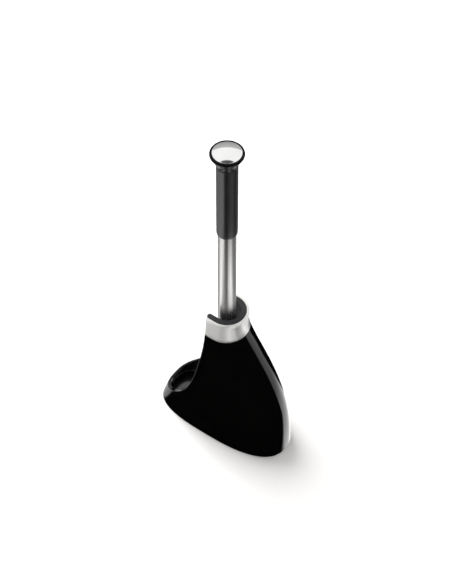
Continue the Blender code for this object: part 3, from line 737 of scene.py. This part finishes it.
# dark and light are linear colours, and a lone number is a grey.
LOOKS = {
    "gloss_black": dict(dark=0.0016, light=0.0022, roughness=(0.05, 0.075),
                        tone=(EVEN, 30.0, 2.0), grain=(EVEN, 260.0, 3.0, 0.4e-6), Specular_IOR_Level=0.45),
    "tray_black": dict(dark=0.004, light=0.006, roughness=(0.12, 0.18),
                       tone=(EVEN, 30.0, 2.0), grain=(EVEN, 700.0, 3.0, 1e-6), Specular_IOR_Level=0.9),
    "plain_black": dict(dark=0.011, light=0.017, roughness=(0.42, 0.58),
                        tone=(EVEN, 60.0, 3.0), grain=(EVEN, 1800.0, 3.0, 20e-6)),
    "plated_steel": dict(dark=(0.42, 0.43, 0.44), light=(0.56, 0.56, 0.55), roughness=(0.28, 0.46),
                         metallic=1.0, tone=(EVEN, 160.0, 4.0), grain=(EVEN, 900.0, 4.0, 8e-6)),
    "foot_rubber": dict(dark=0.014, light=0.022, roughness=(0.65, 0.8),
                        tone=(EVEN, 90.0, 3.0), grain=(EVEN, 1500.0, 4.0, 40e-6)),
    "satin_steel": dict(dark=(0.70, 0.695, 0.68), light=(0.78, 0.775, 0.76), roughness=(0.28, 0.36),
                        metallic=0.72, tone=(ROUND, 700.0, 3.0), grain=(ROUND, 2600.0, 4.0, 2.5e-6)),
    "insert_grey": dict(dark=(0.010, 0.010, 0.012), light=(0.015, 0.015, 0.0175), roughness=(0.42, 0.54),
                        tone=(EVEN, 120.0, 3.0), grain=(EVEN, 2200.0, 3.0, 18e-6)),
    "cup_rubber": dict(dark=(0.010, 0.010, 0.0105), light=(0.017, 0.0165, 0.016), roughness=(0.5, 0.68),
                       tone=(EVEN, 45.0, 4.0), grain=(EVEN, 1200.0, 4.0, 25e-6)),
    "brushed_tube": dict(dark=(0.55, 0.545, 0.535), light=(0.66, 0.65, 0.64), roughness=(0.24, 0.32),
                         metallic=1.0, tone=(LENGTHWISE, 900.0, 3.0), grain=(LENGTHWISE, 2600.0, 4.0, 1.0e-6),
                         tangent_axis="Z", Anisotropic=0.9, Anisotropic_Rotation=0.25),
    "grip_black": dict(dark=(0.012, 0.012, 0.0135), light=(0.016, 0.016, 0.0178), roughness=(0.16, 0.22),
                       tone=(EVEN, 70.0, 3.0), grain=(EVEN, 2600.0, 3.0, 5e-6)),
    "cap_black": dict(dark=0.003, light=0.0045, roughness=(0.1, 0.15),
                      tone=(EVEN, 50.0, 2.0), grain=(EVEN, 900.0, 3.0, 1.5e-6), Specular_IOR_Level=0.08),
    "polished_disc": dict(dark=0.83, light=0.88, roughness=(0.02, 0.045), metallic=1.0,
                          tone=(EVEN, 40.0, 2.0), grain=(EVEN, 500.0, 3.0, 0.25e-6)),
}
FINISHES = {name: surface(name, **look) for name, look in LOOKS.items()}

CARRIED_OVER = {
    "base_plate": "plain_black", "ballast_plate": "plated_steel", "collar_holder": "plain_black",
    "collar_magnet_1": "plated_steel", "collar_magnet_2": "plated_steel", "collar_magnet_3": "plated_steel",
    "collar_screw_1": "plated_steel", "collar_screw_2": "plated_steel", "keeper_sleeve": "plated_steel",
    "tube_end_plug": "plain_black", "tube_top_plug": "plain_black", "end_cap_screw": "plated_steel",
}


def refinish_cad_nodes():
    """Gives the CAD nodes that no piece replaces the same finishes as the pieces."""
    for name, finish in CARRIED_OVER.items():
        node = frame["nodes"][name]
        node.data.materials.clear()
        node.data.materials.append(FINISHES[finish])


# ---------------------------------------------------------------- surroundings

def calculate(tree, operation, *values):
    """The result of a math node on sockets or numbers."""
    node = node_of(tree, "ShaderNodeMath", operation=operation)
    for socket, value in zip(node.inputs, values):
        if isinstance(value, (int, float)):
            socket.default_value = value
        else:
            tree.links.new(value, socket)
    return node.outputs["Value"]


def product(tree, first, *others):
    """Sockets and numbers multiplied."""
    for other in others:
        first = calculate(tree, "MULTIPLY", first, other)
    return first


def total(tree, first, *others):
    """Sockets and numbers added up."""
    for other in others:
        first = calculate(tree, "ADD", first, other)
    return first


def without(tree, value, whole=1.0):
    """What is left of a whole when a value is taken from it."""
    return calculate(tree, "SUBTRACT", whole, value)


def rise(tree, value, start, end):
    """0 before start and 1 after end, with a soft change between them."""
    node = node_of(tree, "ShaderNodeMapRange", interpolation_type="SMOOTHSTEP")
    node.inputs["From Min"].default_value, node.inputs["From Max"].default_value = start, end
    tree.links.new(value, node.inputs["Value"])
    return node.outputs["Result"]


def brightness(tree, value, stops, strongest):
    """Brightness that follows stops of (value, share of the strongest)."""
    ramp = node_of(tree, "ShaderNodeValToRGB")
    ramp.color_ramp.interpolation = "EASE"
    elements = ramp.color_ramp.elements
    elements.remove(elements[-1])
    for number, (place, share) in enumerate(stops):
        element = elements.new(place) if number else elements[0]
        element.position = place
        element.color = (share, share, share, 1.0)
    tree.links.new(value, ramp.inputs["Fac"])
    return calculate(tree, "MULTIPLY", ramp.outputs["Color"], strongest)


def by_heading(tree, heading, stops, strongest):
    """Brightness by heading. stops are (degrees from +X, share of the strongest)."""
    places = [((degrees + 180.0) / 360.0, share) for degrees, share in stops]
    return brightness(tree, heading, places, strongest)


def heading_of(tree, x, y):
    """Heading as a share of a turn, from -X round by -Y."""
    return calculate(tree, "ADD", calculate(tree, "DIVIDE", calculate(tree, "ARCTAN2", y, x), FULL_TURN), 0.5)


# Light cards that reflections see round the object, as (heading in degrees, share of the strongest).
FAR_CARDS = ((-180, 0.3), (-172, 0.55), (-92, 0.6), (-80, 0.0), (-62, 0.1), (-50, 0.5), (-36, 0.1),
             (-20, 0.0), (118, 0.0), (124, 1.0), (150, 1.0), (158, 0.0), (170, 0.0), (180, 0.3))
TUBE_CARDS = ((-180, 0.45), (-104, 0.54), (-86, 0.16), (-70, 0.16), (-52, 0.95), (-40, 1.0), (-28, 0.9),
              (-14, 0.42), (4, 0.26), (26, 0.12), (38, 0.14), (58, 0.8), (80, 1.0), (92, 0.85),
              (108, 0.25), (136, 0.14), (158, 0.2), (180, 0.45))
GRIP_CARDS = ((-180, 0.05), (-84, 0.32), (-52, 0.6), (-26, 0.95), (-4, 1.0), (14, 0.03), (36, 0.0),
              (52, 0.1), (76, 0.26), (100, 0.22), (120, 0.05), (138, 0.05), (164, 0.2), (180, 0.05))
COLLAR_CARDS = ((-180, 0.5), (-60, 0.42), (-20, 0.42), (4, 0.46), (16, 0.34), (28, 0.38), (44, 0.72),
                (58, 0.5), (76, 0.12), (88, 0.25), (106, 1.0), (140, 1.0), (180, 0.6))
FAR_LIGHT, TUBE_LIGHT, GRIP_LIGHT, COLLAR_LIGHT = 1.1, 1.8, 1.6, 1.3
TUBE_STARTS, GRIP_STARTS, FAR_STARTS = (0.055, 0.062), (0.19, 0.205), (0.6, 0.8)

# The sky, as (height of the direction, share of the strongest).
SKY = ((0.26, 0.0), (0.31, 0.34), (0.56, 0.5), (0.60, 1.0), (0.908, 1.0), (0.926, 0.1), (1.0, 0.05))
SKY_LIGHT = 1.05
FAR_CARDS_END = (0.2, 0.35)


def glow(name, build, from_above=False):
    """A glowing material whose strength a function of its node tree works out.

    Its back is clear where it glows from above only.
    """
    material = bpy.data.materials.new(name)
    material.use_nodes = True
    material.cycles.emission_sampling = "NONE"
    tree = material.node_tree
    tree.nodes.clear()
    emission = node_of(tree, "ShaderNodeEmission")
    tree.links.new(build(tree), emission.inputs["Strength"])
    output = node_of(tree, "ShaderNodeOutputMaterial")
    if not from_above:
        tree.links.new(emission.outputs["Emission"], output.inputs["Surface"])
        return material
    clear = node_of(tree, "ShaderNodeBsdfTransparent")
    either = node_of(tree, "ShaderNodeMixShader")
    tree.links.new(node_of(tree, "ShaderNodeNewGeometry").outputs["Backfacing"], either.inputs["Fac"])
    tree.links.new(emission.outputs["Emission"], either.inputs[1])
    tree.links.new(clear.outputs["BSDF"], either.inputs[2])
    tree.links.new(either.outputs["Shader"], output.inputs["Surface"])
    return material


def position_of(tree):
    """Level position on a card, as x, y, distance from the axis and heading."""
    where = node_of(tree, "ShaderNodeSeparateXYZ")
    tree.links.new(node_of(tree, "ShaderNodeTexCoord").outputs["Object"], where.inputs["Vector"])
    x, y = where.outputs["X"], where.outputs["Y"]
    distance = calculate(tree, "SQRT", total(tree, product(tree, x, x), product(tree, y, y)))
    return x, y, distance, heading_of(tree, x, y)


def upper_cards(tree):
    """What the collar, the tube and the grip find below them, from the axis outwards."""
    _, _, distance, heading = position_of(tree)
    for_tube, for_grip = rise(tree, distance, *TUBE_STARTS), rise(tree, distance, *GRIP_STARTS)
    collar = product(tree, by_heading(tree, heading, COLLAR_CARDS, COLLAR_LIGHT), without(tree, for_tube))
    tube = product(tree, by_heading(tree, heading, TUBE_CARDS, TUBE_LIGHT), without(tree, for_grip, for_tube))
    grip = product(tree, by_heading(tree, heading, GRIP_CARDS, GRIP_LIGHT), for_grip)
    return total(tree, collar, tube, grip)


def table_cards(tree):
    """What glossy surfaces find below them: dark, with cards laid out round the object."""
    x, y, distance, heading = position_of(tree)

    def beyond(px, py, degrees, softness):
        """1 on the left of a line through a point that runs off at a heading."""
        nx, ny = -math.sin(math.radians(degrees)), math.cos(math.radians(degrees))
        offset = total(tree, product(tree, x, nx), product(tree, y, ny), -px * nx - py * ny)
        return rise(tree, offset, -softness / 2, softness / 2)

    # A wedge behind the spine, between two lines on one side and one line on the other.
    lines = beyond(-0.134, 0.295, 120.6, 0.012), beyond(-0.010, 0.128, 132.5, 0.012)
    near_side = calculate(tree, "MAXIMUM", *lines)
    far_side = without(tree, beyond(-0.28, 0.168, 148.4, 0.02))
    fading = without(tree, rise(tree, distance, 0.12, 0.5), 2.0)
    wedge = product(tree, near_side, far_side, without(tree, rise(tree, x, 0.0, 0.015)), fading)

    far = product(tree, by_heading(tree, heading, FAR_CARDS, FAR_LIGHT), rise(tree, distance, *FAR_STARTS))

    # A patch in front of the lip, cut off slantwise.
    in_depth = without(tree, rise(tree, y, -0.105, -0.095), rise(tree, y, -0.25, -0.24))
    slant = without(tree, rise(tree, total(tree, x, y), -0.078, -0.066))
    patch = product(tree, in_depth, rise(tree, x, -0.09, -0.07), slant, 0.75)
    return calculate(tree, "MAXIMUM", calculate(tree, "MAXIMUM", wedge, far), patch)


def make_sky():
    """A soft overhead light, with the far cards standing low round the object."""
    world = bpy.data.worlds.new("studio")
    bpy.context.scene.world = world
    world.use_nodes = True
    tree = world.node_tree
    background = tree.nodes["Background"]
    background.inputs["Color"].default_value = (1.0, 0.998, 0.993, 1.0)
    where = node_of(tree, "ShaderNodeSeparateXYZ")
    tree.links.new(node_of(tree, "ShaderNodeTexCoord").outputs["Generated"], where.inputs["Vector"])
    heading = heading_of(tree, where.outputs["X"], where.outputs["Y"])
    cards = by_heading(tree, heading, FAR_CARDS, FAR_LIGHT)
    overhead = brightness(tree, where.outputs["Z"], SKY, SKY_LIGHT)
    low = product(tree, cards, without(tree, rise(tree, where.outputs["Z"], *FAR_CARDS_END)))
    tree.links.new(total(tree, overhead, low), background.inputs["Strength"])
    world.cycles_visibility.diffuse = False


def stage_piece(name, points, faces, material, *kinds):
    """Part of the surroundings that only these kinds of ray see."""
    mesh = bpy.data.meshes.new(name)
    mesh.from_pydata(points, [], faces)
    mesh.materials.append(material)
    piece = bpy.data.objects.new(name, mesh)
    bpy.context.scene.collection.objects.link(piece)
    for kind in ("camera", "diffuse", "glossy", "transmission", "volume_scatter", "shadow"):
        setattr(piece, "visible_" + kind, kind in kinds)


def circle(radius, z):
    """Level ring of points round the axis."""
    angles = np.arange(STAGE_SIDES) * FULL_TURN / STAGE_SIDES
    return [(radius * math.cos(a), radius * math.sin(a), z) for a in angles]


def floor_material():
    """Matt and nearly white, and lit from within far out, where the lamps no longer reach."""
    floor_finish = bpy.data.materials.new("floor")
    floor_finish.use_nodes = True
    floor_finish.cycles.emission_sampling = "NONE"
    tree = floor_finish.node_tree
    shader = tree.nodes["Principled BSDF"]
    shader.inputs["Base Color"].default_value = (0.93, 0.925, 0.922, 1.0)
    shader.inputs["Roughness"].default_value = 1.0
    shader.inputs["Specular IOR Level"].default_value = 0.0
    shader.inputs["Emission Color"].default_value = (1.0, 1.0, 1.0, 1.0)
    _, _, distance, _ = position_of(tree)
    tree.links.new(rise(tree, distance, *FLOOR_GLOW), shader.inputs["Emission Strength"])
    return floor_finish


def make_stage():
    """Pale floor and backdrop for the camera, and the cards that only reflections see."""
    disc = [tuple(range(STAGE_SIDES))]
    band = [(i, (i + 1) % STAGE_SIDES, STAGE_SIDES + (i + 1) % STAGE_SIDES, STAGE_SIDES + i)
            for i in range(STAGE_SIDES)]
    stage_piece("floor", circle(FLOOR_RADIUS, 0.0), disc, floor_material(),
                "camera", "diffuse", "transmission", "shadow")
    stage_piece("reflected_cards", circle(CARD_RADIUS, CARD_DEPTH), disc, glow("card_light", table_cards),
                "glossy")
    inner, outer = (circle(radius, UPPER_CARD_HEIGHT) for radius in UPPER_CARD_RADII)
    stage_piece("upper_cards", inner + outer, [face[::-1] for face in band],
                glow("upper_light", upper_cards, from_above=True), "glossy")
    low, high = (circle(FLOOR_RADIUS, side * BACKDROP_REACH) for side in (-1, 1))
    stage_piece("backdrop", low + high, band, glow("backdrop_light", lambda tree: total(tree, 1.0, 0.0)),
                "camera")


def make_lamp(name, size, energy, place):
    """A soft round light that points at the foot of the object and that reflections don't show."""
    data = bpy.data.lights.new(name, "AREA")
    data.shape, data.size, data.energy = "DISK", size, energy
    data.color = (1.0, 0.99, 0.975)
    lamp = bpy.data.objects.new(name, data)
    bpy.context.scene.collection.objects.link(lamp)
    lamp.location = place
    lamp.rotation_mode = "QUATERNION"
    lamp.rotation_quaternion = (-lamp.location).to_track_quat("-Z", "Y")
    lamp.visible_glossy = False
    lamp.visible_camera = False


def make_camera():
    """The camera stands back from a point beside the axis, at the view's heading and height."""
    azimuth, elevation = math.radians(CAMERA_AZIMUTH), math.radians(CAMERA_ELEVATION)
    back = Vector((math.sin(azimuth) * math.cos(elevation), -math.cos(azimuth) * math.cos(elevation),
                   math.sin(elevation)))
    right = Vector((math.cos(azimuth), math.sin(azimuth), 0.0))
    data = bpy.data.cameras.new("camera")
    data.lens = CAMERA_LENS
    camera = bpy.data.objects.new("camera", data)
    bpy.context.scene.collection.objects.link(camera)
    camera.location = right * CAMERA_AIM[0] + Vector((0.0, 0.0, CAMERA_AIM[1])) + back * CAMERA_DISTANCE
    camera.rotation_mode = "QUATERNION"
    camera.rotation_quaternion = (-back).to_track_quat("-Z", "Y")
    bpy.context.scene.camera = camera


make_shell()
make_tray()
make_collar()
make_insert()
make_tube()
make_grip()
make_cap()
make_disc()
make_ferrule()
make_cup()
make_fastening()
make_feet()
refinish_cad_nodes()
make_sky()
make_stage()
make_lamp("fill", size=4.0, energy=37.0, place=Vector((0.0, 0.0, 1.15)))
make_lamp("key", size=1.4, energy=50.0, place=Vector((-0.25, -1.15, 1.95)))
make_camera()
bpy.context.scene.view_settings.view_transform = "Standard"
